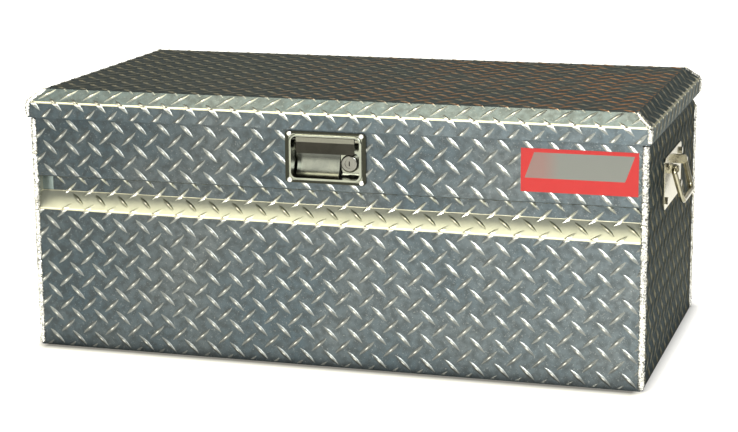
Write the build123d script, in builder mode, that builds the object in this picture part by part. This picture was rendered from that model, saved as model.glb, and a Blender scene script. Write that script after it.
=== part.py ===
from build123d import *
import os
from math import atan2, cos, degrees, hypot, pi, radians, sin

# A chest tool box of bent tread plate for a pickup bed or a trailer.
# Millimetres. +X runs along the front to the right, +Y to the rear, +Z up.
# The origin is on the floor line, in the middle of the box.

# Body
body_width = 914.0
body_depth = 470.0
sheet = 2.0
lower_zone = 210.5
channel_depth = 23.5
channel_rise = 25.5
upper_zone = 89.0
bend_outer = 3.0
bend_inner = 1.5
weld_radius = 1.4
rim_rise = 19.5
rim_width = 20.0
rim_leg = 14.0
relief_length = 45.0
relief_drop = 16.0
relief_return = 15.0

# Lid
lid_overhang = 6.0
skirt_height = 22.5
bevel_run = 22.0
bevel_rise = 18.5
pan_sheet = 1.6
pan_gap = 8.0
pan_edge_gap = 1.0
stiffener_width = 60.0
stiffener_length = 720.0
stiffener_place = 115.0
stiffener_sheet = 1.5
seal_width = 10.0
seal_gap = 0.3
seal_round = 2.5

# Piano hinge at the rear
hinge_end_gap = 32.0
hinge_knuckles = 29
knuckle_gap = 0.4
knuckle_radius = 3.0
hinge_pin_radius = 1.5
running_gap = 0.05
leaf_sheet = 1.2
leaf_height = 27.0
hinge_drop = 1.0
lid_leaf_height = 18.0
hinge_rivets = 12
rivet_radius = 2.0
rivet_head_radius = 3.6
rivet_head = 1.2

# Flush paddle latch in the upper front
latch_below_seam = 40.0
bezel_width = 120.5
bezel_height = 74.5
bezel_sheet = 1.5
bezel_corner = 5.0
bead_width = 3.4
bead_height = 2.5
bead_round = 1.5
dish_width = 102.0
dish_height = 60.0
dish_depth = 22.0
dish_wall = 1.2
dish_corner = 8.0
dish_round = 5.0
cutout_gap = 0.4
gasket_thickness = 1.0
gasket_inset = 1.0
latch_screw_inset = 6.6
latch_screw_rise = 3.6
latch_screw_radius = 2.0
latch_screw_head = 3.8
latch_screw_dome = 2.0
latch_screw_round = 1.6
latch_screw_length = 12.0
latch_nut_radius = 3.6
latch_nut_height = 3.0

# Paddle and the linkage behind it
paddle_left = -46.0
paddle_right = 41.0
paddle_pivot_drop = 5.5
paddle_pivot_depth = 7.0
paddle_sheet = 2.0
paddle_barrel = 3.2
paddle_length = 20.0
paddle_lip = 3.0
paddle_pin_radius = 1.6
spring_end_gap = 1.5
spring_radius = 2.4
spring_wire = 0.45
spring_pitch = 1.3
spring_turns = 4
tail_centre = -31.0
tail_width = 10.0
tail_reach = 22.0
tail_thickness = 3.0
tail_slot_above = 3.0
tail_slot_below = 14.0
tail_slot_side = 1.0
linkage_gap = 0.5
slide_height = 12.0
slide_side_gap = 0.3
housing_depth = 14.8
housing_sheet = 2.0
housing_left = -50.0
housing_right = 15.0
housing_rise = 14.0
housing_fall = 15.0
post_radius = 3.0
post_inset = 4.0
post_high = 2.0
post_low_left = 9.0
post_low_right = 5.0

# Hook, striker and key lock
hook_pivot_x = -8.0
hook_pivot_drop = 26.5
hook_pin_radius = 3.0
hook_eye = 8.0
hook_sheet = 4.0
hook_swing = 30.0
hook_arm = 6.0
hook_arm_slope = 2.0
hook_front_gap = 8.8
hook_throat_gap = 1.5
hook_finger_gap = 1.0
hook_tip = 2.0
hook_crown = 7.0
hook_back = 10.0
hook_shoulder = 3.0
hook_waist = 8.0
hook_heel = 4.0
hook_arm_overrun = 2.0
striker_drop = 3.5
striker_pin_radius = 4.0
striker_reach = 14.0
striker_sheet = 3.0
striker_width = 26.0
striker_foot = 22.0
striker_setback = 46.0
lock_x = 30.5
lock_drop = 9.9
lock_flange = 13.0
lock_barrel = 9.5
lock_face = 9.0
lock_round = 3.0
plug_radius = 6.5
plug_recess = 1.0
barrel_reach = 3.4
cam_sheet = 2.0
cam_width = 8.0
cam_gap = 1.0
key_slot_width = 1.6
key_slot_length = 7.0
key_slot_depth = 6.0

# Gas props at both ends
prop_inset = 33.0
prop_forward = 45.0
prop_below = 40.0
prop_lid_arm = 200.0
prop_lid_angle = 4.0
prop_stud_radius = 4.0
prop_eye_radius = 8.0
prop_eye_width = 6.0
prop_tube_radius = 9.0
prop_tube_bore = 7.5
prop_tube_start = 14.0
prop_neck_overlap = 1.0
prop_shank_gap = 3.0
prop_cap = 12.0
prop_rod_radius = 3.0
prop_tail_gap = 3.0
prop_shank = 18.0
prop_shank_depth = 11.0
prop_piston = 10.0
prop_bracket = 36.0
prop_bracket_sheet = 2.5
prop_foot_shift = 6.0
prop_washer_radius = 6.0
prop_head_stud = 5.0
prop_head_width = 21.6
prop_head_foot = 18.0
prop_open_gap = 0.5
lid_opening = 80.0

# Drop handles on the ends
handle_below_seam = 86.5
handle_plate_width = 160.0
handle_plate_height = 76.0
handle_plate_sheet = 2.0
handle_plate_corner = 9.0
handle_plate_round = 0.8
handle_pivot_rise = 17.0
handle_pivot_out = 8.5
bail_radius = 4.0
bail_width = 104.0
bail_drop = 46.0
bail_kick = 13.0
bail_taper = 6.0
bail_ear_bend = 5.2
bail_grip_bend = 10.4
ear_length = 15.0
ear_width = 7.0
ear_radius = 6.5
handle_bolt_x = 67.0
handle_bolt_z = 25.0
handle_bolt_radius = 3.0
handle_bolt_head = 5.5
handle_bolt_head_height = 3.6
handle_bolt_length = 14.0

# Smooth lap plate at the channel's left end, and the plain front decal
patch_sheet = 1.0
patch_gap = 0.25
patch_wall_width = 17.0
decal_width = 163.5
decal_height = 61.0
decal_sheet = 0.4
decal_edge = 10.5
decal_below_seam = 12.0

# Places that follow
side_face = body_width / 2
rear_face = body_depth / 2
front_face = -rear_face
channel_wall = front_face + channel_depth
ledge_top = lower_zone + channel_depth
channel_top = ledge_top + channel_rise
seam_height = channel_top + upper_zone
rim_height = seam_height + rim_rise
lid_x = side_face + lid_overhang
lid_y = rear_face + lid_overhang
bend_height = seam_height + skirt_height
lid_height = bend_height + bevel_rise
pan_bottom = rim_height + pan_gap
hinge_y = rear_face + knuckle_radius
hinge_z = seam_height - knuckle_radius - hinge_drop
hinge_length = body_width - 2 * hinge_end_gap
rivet_pitch = hinge_length / hinge_rivets
lid_leaf_rivet_z = seam_height + lid_leaf_height / 2
latch_height = seam_height - latch_below_seam
screw_span_x = bezel_width - 2 * latch_screw_inset
screw_span_z = bezel_height - 2 * latch_screw_rise
dish_back = front_face + dish_depth + dish_wall
bezel_back = front_face - gasket_thickness
bezel_front = bezel_back - bezel_sheet
cut_width = dish_width + 2 * dish_wall + 2 * cutout_gap
cut_height = dish_height + 2 * dish_wall + 2 * cutout_gap
cut_corner = dish_corner + dish_wall + cutout_gap
pivot_y = front_face + paddle_pivot_depth
pivot_z = latch_height + dish_height / 2 - paddle_pivot_drop
tail_bottom = pivot_z - tail_thickness + paddle_lip / 2
slide_top = tail_bottom - linkage_gap
slide_bottom = slide_top - slide_height
housing_face = dish_back + housing_depth
hook_pivot_z = seam_height - hook_pivot_drop
hook_y = dish_back + hook_front_gap
striker_z = seam_height - striker_drop
striker_face = front_face + striker_setback
lock_z = latch_height - lock_drop
cam_face = dish_back + barrel_reach
prop_x = side_face - prop_inset
handle_height = seam_height - handle_below_seam

os.makedirs("parts", exist_ok=True)


def save(piece, name):
    piece.part.label = name
    export_step(piece.part, "parts/" + name + ".step")


def save_pair(piece, name):
    save(piece, name + "_right")
    with BuildPart() as twin:
        mirror(piece.part, about=Plane.YZ)
    save(twin, name + "_left")


def facing_front(y):
    # Sketch plane seen from the front: local x is +X, local y is +Z, normal is -Y.
    return Plane(origin=(0, y, 0), x_dir=(1, 0, 0), z_dir=(0, -1, 0))


# ---- Body of the box ----

def make_front_panel():
    with BuildPart() as front_panel:
        with BuildSketch(Plane.YZ.offset(-side_face + sheet)):
            with BuildLine():
                bent_face = FilletPolyline(
                    (front_face, 0),
                    (front_face, lower_zone),
                    (channel_wall, ledge_top),
                    (channel_wall, channel_top),
                    (front_face, channel_top),
                    (front_face, rim_height),
                    radius=[bend_outer, bend_inner, bend_inner, bend_outer],
                )
                offset(bent_face, amount=sheet, side=Side.RIGHT, closed=True)
            make_face()
        extrude(amount=body_width - 2 * sheet)
        with BuildSketch(facing_front(front_face)):
            with Locations((0, latch_height)):
                RectangleRounded(cut_width, cut_height, cut_corner)
        extrude(amount=-sheet, mode=Mode.SUBTRACT)
        with BuildSketch(facing_front(front_face)):
            with Locations((0, latch_height)):
                with GridLocations(screw_span_x, screw_span_z, 2, 2):
                    Circle(latch_screw_radius + running_gap)
        extrude(amount=-sheet, mode=Mode.SUBTRACT)
    save(front_panel, "front_panel")


def make_rear_panel():
    with BuildPart() as rear_panel:
        with BuildSketch(facing_front(rear_face)):
            with Locations((0, rim_height / 2)):
                Rectangle(body_width - 2 * sheet, rim_height)
            for side in (-1, 1):
                edge = side * (side_face - sheet)
                with BuildLine():
                    Polyline(
                        (edge, seam_height - relief_drop),
                        (edge - side * relief_return, seam_height),
                        (edge, seam_height),
                        close=True,
                    )
                make_face(mode=Mode.SUBTRACT)
        extrude(amount=sheet)
        with BuildSketch(facing_front(rear_face)):
            with Locations((0, hinge_z - knuckle_radius - leaf_height / 2)):
                with GridLocations(rivet_pitch, 0, hinge_rivets, 1):
                    Circle(rivet_radius)
        extrude(amount=sheet, mode=Mode.SUBTRACT)
    save(rear_panel, "rear_panel")


def make_side_panels():
    with BuildPart() as side_panel:
        with BuildSketch(Plane.YZ.offset(side_face - sheet)):
            with BuildLine():
                Polyline(
                    (front_face + sheet, 0),
                    (rear_face - sheet, 0),
                    (rear_face - sheet, seam_height - relief_drop),
                    (rear_face - relief_length, seam_height),
                    (rear_face - sheet, seam_height),
                    (rear_face - sheet, rim_height),
                    (front_face + sheet, rim_height),
                    close=True,
                )
            make_face()
            with Locations((0, handle_height)):
                with GridLocations(2 * handle_bolt_x, 2 * handle_bolt_z, 2, 2):
                    Circle(handle_bolt_radius, mode=Mode.SUBTRACT)
        extrude(amount=sheet)
    save_pair(side_panel, "side_panel")


def make_floor_panel():
    with BuildPart() as floor_panel:
        with BuildSketch(Plane.XY):
            Rectangle(body_width - 2 * sheet, body_depth - 2 * sheet)
        extrude(amount=sheet)
    save(floor_panel, "floor_panel")


def make_corner_welds():
    # One bead fills each open corner between two sheets. The front beads run to the rim,
    # and the rear ones stop where the walls are cut away for the hinge.
    with BuildPart() as corner_welds:
        for y_side, bead_top in ((-1, rim_height), (1, seam_height - relief_drop)):
            corner_y = y_side * (rear_face - sheet / 2)
            with BuildSketch(Plane.XY):
                with Locations((0, corner_y)):
                    with GridLocations(body_width - sheet, 0, 2, 1):
                        Rectangle(sheet, sheet)
            extrude(amount=bead_top)
        outer = corner_welds.edges().filter_by(Axis.Z)
        outer = outer.filter_by(lambda edge: abs(edge.center().X) > side_face - sheet / 2)
        outer = outer.filter_by(lambda edge: abs(edge.center().Y) > rear_face - sheet / 2)
        fillet(outer, radius=weld_radius)
    save(corner_welds, "corner_welds")


def make_rim_frame():
    # Welded angle frame inside the top of the walls; it carries the seal.
    width = body_width - 2 * sheet
    depth = body_depth - 2 * sheet
    with BuildPart() as rim_frame:
        with BuildSketch(Plane.XY.offset(rim_height - sheet)):
            Rectangle(width, depth)
            Rectangle(width - 2 * rim_width, depth - 2 * rim_width, mode=Mode.SUBTRACT)
        extrude(amount=sheet)
        with BuildSketch(Plane.XY.offset(rim_height - rim_leg)):
            Rectangle(width, depth)
            Rectangle(width - 2 * sheet, depth - 2 * sheet, mode=Mode.SUBTRACT)
        extrude(amount=rim_leg - sheet)
    save(rim_frame, "rim_frame")


def make_rim_seal():
    seal_x = body_width - 2 * sheet - 2 * (rim_width - seal_width)
    seal_y = body_depth - 2 * sheet - 2 * (rim_width - seal_width)
    with BuildPart() as rim_seal:
        with BuildSketch(Plane.XY.offset(rim_height)):
            RectangleRounded(seal_x, seal_y, seal_width)
            RectangleRounded(seal_x - 2 * seal_width, seal_y - 2 * seal_width,
                             seal_width / 2, mode=Mode.SUBTRACT)
        extrude(amount=pan_gap - seal_gap)
        fillet(rim_seal.edges().group_by(Axis.Z)[-1], radius=seal_round)
    save(rim_seal, "rim_seal")


def make_channel_patch():
    # A smooth lap plate on the left end of the channel's wall, clear of its bends.
    left = -side_face + sheet
    patch_low = ledge_top + bend_inner
    patch_high = channel_top - bend_inner - patch_gap
    with BuildPart() as channel_patch:
        with BuildSketch(Plane.YZ.offset(left)):
            with BuildLine():
                Polyline(
                    (channel_wall, patch_low),
                    (channel_wall, patch_high),
                    (channel_wall - patch_sheet, patch_high),
                    (channel_wall - patch_sheet, patch_low),
                    close=True,
                )
            make_face()
        extrude(amount=patch_wall_width)
    save(channel_patch, "channel_patch")


def make_decal():
    decal_x = side_face - decal_edge - decal_width / 2
    decal_z = seam_height - decal_below_seam - decal_height / 2
    with BuildPart() as front_decal:
        with BuildSketch(facing_front(front_face)):
            with Locations((decal_x, decal_z)):
                Rectangle(decal_width, decal_height)
        extrude(amount=decal_sheet)
    save(front_decal, "front_decal")


# ---- Lid ----

def tray(inset, low, bend, top, top_inset):
    # A block with upright sides up to the bend and sloping sides above it.
    with BuildPart(mode=Mode.PRIVATE) as block:
        with BuildSketch(Plane.XY.offset(low)):
            Rectangle(2 * (lid_x - inset), 2 * (lid_y - inset))
        extrude(amount=bend - low)
        with BuildSketch(Plane.XY.offset(bend)):
            Rectangle(2 * (lid_x - inset), 2 * (lid_y - inset))
        with BuildSketch(Plane.XY.offset(top)):
            Rectangle(2 * (lid_x - top_inset), 2 * (lid_y - top_inset))
        loft()
    return block.part


def make_lid_shell():
    slope = hypot(bevel_run, bevel_rise)
    inner_bend = bend_height - sheet * (slope - bevel_rise) / bevel_run
    inner_top_inset = bevel_run + sheet * (slope - bevel_run) / bevel_rise
    outer = tray(0, seam_height, bend_height, lid_height, bevel_run)
    inner = tray(sheet, seam_height, inner_bend, lid_height - sheet, inner_top_inset)
    with BuildPart() as lid_shell:
        add(outer)
        rounded = lid_shell.edges().filter_by(lambda edge: edge.center().Z > seam_height)
        fillet(rounded, radius=bend_outer)
        add(inner, mode=Mode.SUBTRACT)
        with BuildSketch(facing_front(lid_y)):
            with Locations((0, lid_leaf_rivet_z)):
                with GridLocations(rivet_pitch, 0, hinge_rivets, 1):
                    Circle(rivet_radius)
        extrude(amount=sheet, mode=Mode.SUBTRACT)
    save(lid_shell, "lid_shell")


def make_lid_pan():
    # The flat inner pan fits inside the sloping edge at its own height.
    slope_in = bevel_run / bevel_rise
    pan_top = pan_bottom + pan_sheet
    margin = (pan_top - bend_height) * slope_in + 2 * sheet + pan_edge_gap
    with BuildPart() as lid_pan:
        with BuildSketch(Plane.XY.offset(pan_bottom)):
            Rectangle(2 * (lid_x - margin), 2 * (lid_y - margin))
        extrude(amount=pan_sheet)
    save(lid_pan, "lid_inner_pan")


def make_lid_stiffeners():
    low = pan_bottom + pan_sheet
    height = lid_height - sheet - low
    with BuildPart() as lid_stiffeners:
        with BuildSketch(Plane.XY.offset(low)):
            with GridLocations(0, 2 * stiffener_place, 1, 2):
                Rectangle(stiffener_length, stiffener_width)
        extrude(amount=height)
        with BuildSketch(Plane.XY.offset(low)):
            with GridLocations(0, 2 * stiffener_place, 1, 2):
                Rectangle(stiffener_length, stiffener_width - 2 * stiffener_sheet)
        extrude(amount=height - stiffener_sheet, mode=Mode.SUBTRACT)
    save(lid_stiffeners, "lid_stiffeners")


# ---- Hinge ----

def make_hinge_leaf(name, leaf_y, plate_z, plate_height, rivet_z, joint_z, first):
    # A flat leaf with every second barrel round the pin; joint_z is where a barrel meets it.
    pitch = hinge_length / hinge_knuckles
    with BuildPart() as leaf:
        with BuildSketch(facing_front(leaf_y + leaf_sheet)):
            with Locations((0, plate_z)):
                Rectangle(hinge_length, plate_height)
            with Locations((0, rivet_z)):
                with GridLocations(rivet_pitch, 0, hinge_rivets, 1):
                    Circle(rivet_radius, mode=Mode.SUBTRACT)
        extrude(amount=leaf_sheet)
        for index in range(first, hinge_knuckles, 2):
            start = -hinge_length / 2 + index * pitch + knuckle_gap / 2
            with BuildSketch(Plane.YZ.offset(start)):
                with Locations((hinge_y, hinge_z)):
                    Circle(knuckle_radius)
                with Locations((leaf_y + leaf_sheet / 2, (joint_z + hinge_z) / 2)):
                    Rectangle(leaf_sheet, abs(joint_z - hinge_z))
                with Locations((hinge_y, hinge_z)):
                    Circle(hinge_pin_radius + running_gap, mode=Mode.SUBTRACT)
            extrude(amount=pitch - knuckle_gap)
    save(leaf, name)


def make_hinge():
    body_leaf_z = hinge_z - knuckle_radius - leaf_height / 2
    make_hinge_leaf("hinge_leaf_body", rear_face, body_leaf_z, leaf_height,
                    body_leaf_z, hinge_z - knuckle_radius, 0)
    make_hinge_leaf("hinge_leaf_lid", lid_y - sheet - leaf_sheet, lid_leaf_rivet_z,
                    lid_leaf_height, lid_leaf_rivet_z, seam_height, 1)
    with BuildPart() as hinge_pin:
        with BuildSketch(Plane.YZ.offset(-hinge_length / 2)):
            with Locations((hinge_y, hinge_z)):
                Circle(hinge_pin_radius)
        extrude(amount=hinge_length)
    save(hinge_pin, "hinge_pin")


def make_hinge_rivets():
    body_rivet_z = hinge_z - knuckle_radius - leaf_height / 2
    with BuildPart() as body_rivets:
        with BuildSketch(facing_front(rear_face + leaf_sheet)):
            with Locations((0, body_rivet_z)):
                with GridLocations(rivet_pitch, 0, hinge_rivets, 1):
                    Circle(rivet_radius)
        extrude(amount=leaf_sheet + sheet)
        for y in (rear_face + leaf_sheet + rivet_head, rear_face - sheet):
            with BuildSketch(facing_front(y)):
                with Locations((0, body_rivet_z)):
                    with GridLocations(rivet_pitch, 0, hinge_rivets, 1):
                        Circle(rivet_head_radius)
            extrude(amount=rivet_head)
    save(body_rivets, "hinge_rivets_body")

    with BuildPart() as lid_rivets:
        with BuildSketch(facing_front(lid_y)):
            with Locations((0, lid_leaf_rivet_z)):
                with GridLocations(rivet_pitch, 0, hinge_rivets, 1):
                    Circle(rivet_radius)
        extrude(amount=sheet + leaf_sheet)
        with BuildSketch(facing_front(lid_y - sheet - leaf_sheet)):
            with Locations((0, lid_leaf_rivet_z)):
                with GridLocations(rivet_pitch, 0, hinge_rivets, 1):
                    Circle(rivet_head_radius)
        extrude(amount=rivet_head)
    save(lid_rivets, "hinge_rivets_lid")


# ---- Latch ----

def make_latch_gasket():
    with BuildPart() as latch_gasket:
        with BuildSketch(facing_front(front_face)):
            with Locations((0, latch_height)):
                RectangleRounded(bezel_width - 2 * gasket_inset, bezel_height - 2 * gasket_inset,
                                 bezel_corner)
                RectangleRounded(cut_width, cut_height, cut_corner, mode=Mode.SUBTRACT)
                with GridLocations(screw_span_x, screw_span_z, 2, 2):
                    Circle(latch_screw_radius + running_gap, mode=Mode.SUBTRACT)
        extrude(amount=gasket_thickness)
    save(latch_gasket, "latch_gasket")


def make_latch_dish():
    bead_front = bezel_front - bead_height
    with BuildPart() as hollow:
        with BuildSketch(facing_front(bead_front)):
            with Locations((0, latch_height)):
                RectangleRounded(dish_width, dish_height, dish_corner)
        extrude(amount=-(dish_back - dish_wall - bead_front))
        fillet(hollow.edges().group_by(Axis.Y)[-1], radius=dish_round)

    with BuildPart() as latch_dish:
        # flange against the gasket, and the bead that stands round the opening
        with BuildSketch(facing_front(bezel_back)):
            with Locations((0, latch_height)):
                RectangleRounded(bezel_width, bezel_height, bezel_corner)
        extrude(amount=bezel_sheet)
        with BuildSketch(facing_front(bezel_front)):
            with Locations((0, latch_height)):
                RectangleRounded(dish_width + 2 * bead_width, dish_height + 2 * bead_width,
                                 dish_corner + bead_width)
        extrude(amount=bead_height)
        fillet(latch_dish.edges().group_by(Axis.Y)[0], radius=bead_round)
        # drawn pan
        with BuildSketch(facing_front(bezel_back)):
            with Locations((0, latch_height)):
                RectangleRounded(dish_width + 2 * dish_wall, dish_height + 2 * dish_wall,
                                 dish_corner + dish_wall)
        extrude(amount=-(dish_back - bezel_back))
        fillet(latch_dish.edges().group_by(Axis.Y)[-1], radius=dish_round + dish_wall)
        add(hollow.part, mode=Mode.SUBTRACT)
        # slot for the paddle's tail, holes for the lock, the pins and the screws
        with BuildSketch(facing_front(dish_back)):
            with Locations((tail_centre, pivot_z + (tail_slot_above - tail_slot_below) / 2)):
                Rectangle(tail_width + 2 * tail_slot_side, tail_slot_above + tail_slot_below)
            with Locations((lock_x, lock_z)):
                Circle(lock_barrel)
            with Locations((hook_pivot_x, hook_pivot_z)):
                Circle(hook_pin_radius)
        extrude(amount=dish_wall + dish_round, mode=Mode.SUBTRACT)
        with BuildSketch(Plane.YZ.offset(-dish_width / 2 - 2 * dish_wall)):
            with Locations((pivot_y, pivot_z)):
                Circle(paddle_pin_radius)
        extrude(amount=dish_width + 4 * dish_wall, mode=Mode.SUBTRACT)
        with BuildSketch(facing_front(bezel_back)):
            with Locations((0, latch_height)):
                with GridLocations(screw_span_x, screw_span_z, 2, 2):
                    Circle(latch_screw_radius)
        extrude(amount=bezel_sheet, mode=Mode.SUBTRACT)
    save(latch_dish, "latch_dish")


def make_latch_fasteners():
    with BuildPart() as latch_screws:
        with BuildSketch(facing_front(bezel_front)):
            with Locations((0, latch_height)):
                with GridLocations(screw_span_x, screw_span_z, 2, 2):
                    Circle(latch_screw_head)
        extrude(amount=latch_screw_dome)
        fillet(latch_screws.edges().group_by(Axis.Y)[0], radius=latch_screw_round)
        with BuildSketch(facing_front(bezel_front)):
            with Locations((0, latch_height)):
                with GridLocations(screw_span_x, screw_span_z, 2, 2):
                    Circle(latch_screw_radius)
        extrude(amount=-latch_screw_length)
    save(latch_screws, "latch_screws")

    with BuildPart() as latch_nuts:
        with BuildSketch(facing_front(front_face + sheet)):
            with Locations((0, latch_height)):
                with GridLocations(screw_span_x, screw_span_z, 2, 2):
                    RegularPolygon(latch_nut_radius, 6)
                    Circle(latch_screw_radius, mode=Mode.SUBTRACT)
        extrude(amount=-latch_nut_height)
    save(latch_nuts, "latch_nuts")


def make_paddle():
    width = paddle_right - paddle_left
    with BuildPart() as latch_paddle:
        with BuildSketch(Plane.YZ.offset(paddle_left)):
            with Locations((pivot_y, pivot_z)):
                Circle(paddle_barrel)
            with BuildLine():
                front = pivot_y - paddle_barrel
                Polyline(
                    (front, pivot_z + paddle_lip),
                    (front, pivot_z - paddle_length),
                    (front + paddle_sheet, pivot_z - paddle_length),
                    (front + paddle_sheet, pivot_z + paddle_lip),
                    close=True,
                )
            make_face()
        extrude(amount=width)
        with BuildSketch(Plane.YZ.offset(tail_centre - tail_width / 2)):
            with BuildLine():
                Polyline(
                    (pivot_y, tail_bottom),
                    (pivot_y + tail_reach, tail_bottom),
                    (pivot_y + tail_reach, tail_bottom + tail_thickness),
                    (pivot_y, tail_bottom + tail_thickness),
                    close=True,
                )
            make_face()
        extrude(amount=tail_width)
        corners = latch_paddle.edges().filter_by(Axis.Y).group_by(Axis.Z)[0]
        fillet(corners, radius=paddle_lip)
        with BuildSketch(Plane.YZ.offset(paddle_left)):
            with Locations((pivot_y, pivot_z)):
                Circle(paddle_pin_radius + running_gap)
        extrude(amount=width, mode=Mode.SUBTRACT)
    save(latch_paddle, "latch_paddle")

    with BuildPart() as paddle_pin:
        with BuildSketch(Plane.YZ.offset(-dish_width / 2 - dish_wall)):
            with Locations((pivot_y, pivot_z)):
                Circle(paddle_pin_radius)
        extrude(amount=dish_width + 2 * dish_wall)
    save(paddle_pin, "paddle_pin")

    # The return spring sits round the pin beside the paddle's right end.
    spring_x = paddle_right + spring_end_gap
    with BuildPart() as paddle_spring:
        with BuildLine():
            coil = Helix(
                pitch=spring_pitch,
                height=spring_pitch * spring_turns,
                radius=spring_radius,
                center=(spring_x, pivot_y, pivot_z),
                direction=(1, 0, 0),
            )
        with BuildSketch(Plane(origin=coil @ 0, z_dir=coil % 0)):
            Circle(spring_wire)
        sweep(path=coil, is_frenet=True)
    save(paddle_spring, "paddle_spring")


def make_trip_slide():
    # A block that the paddle's tail pushes down between the dish and the housing.
    with BuildPart() as trip_slide:
        with BuildSketch(facing_front(housing_face - slide_side_gap)):
            with Locations((tail_centre, (slide_top + slide_bottom) / 2)):
                Rectangle(tail_width, slide_height)
        extrude(amount=housing_depth - 2 * slide_side_gap)
    save(trip_slide, "trip_slide")


def make_latch_housing():
    posts = (
        (housing_left + post_inset, pivot_z - post_high),
        (housing_left + post_inset, hook_pivot_z - post_low_left),
        (housing_right - post_inset, pivot_z - post_high),
        (housing_right - post_inset, hook_pivot_z - post_low_right),
    )
    with BuildPart() as latch_housing:
        with BuildSketch(facing_front(housing_face + housing_sheet)):
            low = hook_pivot_z - housing_fall
            high = hook_pivot_z + housing_rise
            with Locations(((housing_left + housing_right) / 2, (low + high) / 2)):
                RectangleRounded(housing_right - housing_left, high - low, post_radius)
            with Locations((hook_pivot_x, hook_pivot_z)):
                Circle(hook_pin_radius, mode=Mode.SUBTRACT)
        extrude(amount=housing_sheet)
        with BuildSketch(facing_front(housing_face)):
            with Locations(*posts):
                Circle(post_radius)
        extrude(amount=housing_depth)
    save(latch_housing, "latch_housing")

    with BuildPart() as hook_pin:
        with BuildSketch(facing_front(housing_face + housing_sheet)):
            with Locations((hook_pivot_x, hook_pivot_z)):
                Circle(hook_pin_radius)
        extrude(amount=housing_sheet + housing_depth + dish_wall)
    save(hook_pin, "hook_pin")


def make_hook():
    # Outlined as it stands when latched, then drawn swung clear of the striker.
    throat = striker_pin_radius + hook_throat_gap
    finger_low = striker_z + striker_pin_radius + hook_finger_gap - hook_pivot_z
    arm_end = tail_centre - tail_width / 2 - hook_arm_overrun - hook_pivot_x
    arm_top = slide_bottom - linkage_gap - hook_pivot_z
    turn = radians(hook_swing)
    swung = Plane(
        origin=(hook_pivot_x, hook_y + hook_sheet, hook_pivot_z),
        x_dir=(cos(turn), 0, sin(turn)),
        z_dir=(0, -1, 0),
    )
    left = -hook_pivot_x - throat
    with BuildPart() as latch_hook:
        with BuildSketch(swung):
            with BuildLine():
                Polyline(
                    (left, 0),
                    (left, finger_low),
                    (-hook_pivot_x + striker_pin_radius, finger_low),
                    (-hook_pivot_x + striker_pin_radius, finger_low + hook_tip),
                    (left, finger_low + hook_crown),
                    (left - hook_back, finger_low + hook_shoulder),
                    (left - hook_waist, arm_top),
                    (arm_end, arm_top - hook_arm_slope),
                    (arm_end, arm_top - hook_arm_slope - hook_arm),
                    (left - hook_heel, -hook_eye),
                    close=True,
                )
            make_face()
            Circle(hook_eye)
            Circle(hook_pin_radius + running_gap, mode=Mode.SUBTRACT)
        extrude(amount=hook_sheet)
    save(latch_hook, "latch_hook")


def make_striker():
    leg_low = striker_z - striker_pin_radius - striker_sheet
    with BuildPart() as striker_bracket:
        with BuildSketch(facing_front(striker_face + striker_sheet)):
            with Locations((0, (leg_low + pan_bottom) / 2)):
                Rectangle(striker_width, pan_bottom - leg_low)
            with Locations((0, striker_z)):
                Circle(striker_pin_radius, mode=Mode.SUBTRACT)
        extrude(amount=striker_sheet)
        with BuildSketch(Plane.XY.offset(pan_bottom - striker_sheet)):
            with Locations((0, striker_face + striker_foot / 2)):
                Rectangle(striker_width, striker_foot)
        extrude(amount=striker_sheet)
    save(striker_bracket, "striker_bracket")

    with BuildPart() as striker_pin:
        with BuildSketch(facing_front(striker_face + striker_sheet)):
            with Locations((0, striker_z)):
                Circle(striker_pin_radius)
        extrude(amount=striker_sheet + striker_reach)
    save(striker_pin, "striker_pin")


def make_lock():
    floor = dish_back - dish_wall
    with BuildPart() as lock_cylinder:
        with BuildSketch(facing_front(floor)):
            with Locations((lock_x, lock_z)):
                Circle(lock_flange)
        extrude(amount=lock_face)
        fillet(lock_cylinder.edges().group_by(Axis.Y)[0], radius=lock_round)
        with BuildSketch(facing_front(cam_face)):
            with Locations((lock_x, lock_z)):
                Circle(lock_barrel)
        extrude(amount=cam_face - floor)
        with BuildSketch(facing_front(cam_face)):
            with Locations((lock_x, lock_z)):
                Circle(plug_radius + running_gap)
        extrude(amount=cam_face - floor + lock_face, mode=Mode.SUBTRACT)
    save(lock_cylinder, "lock_cylinder")

    with BuildPart() as lock_plug:
        with BuildSketch(facing_front(cam_face)):
            with Locations((lock_x, lock_z)):
                Circle(plug_radius)
        extrude(amount=cam_face - floor + lock_face - plug_recess)
        with BuildSketch(facing_front(floor - lock_face + plug_recess)):
            with Locations((lock_x, lock_z)):
                Rectangle(key_slot_width, key_slot_length)
        extrude(amount=-key_slot_depth, mode=Mode.SUBTRACT)
    save(lock_plug, "lock_plug")

    # The cam points down when unlocked; a quarter turn brings it under the slide.
    block_x = tail_centre - lock_x
    block_z = slide_bottom - cam_gap - cam_width / 2 - lock_z
    reach = hypot(block_x, block_z)
    unlocked = atan2(block_z, block_x) + pi / 2
    cam_plane = Plane(
        origin=(lock_x, cam_face + cam_sheet, lock_z),
        x_dir=(cos(unlocked), 0, sin(unlocked)),
        z_dir=(0, -1, 0),
    )
    with BuildPart() as lock_cam:
        with BuildSketch(cam_plane):
            with Locations((reach / 2, 0)):
                SlotOverall(reach + cam_width, cam_width)
            Circle(plug_radius)
        extrude(amount=cam_sheet)
    save(lock_cam, "lock_cam")


# ---- Gas props ----

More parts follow.
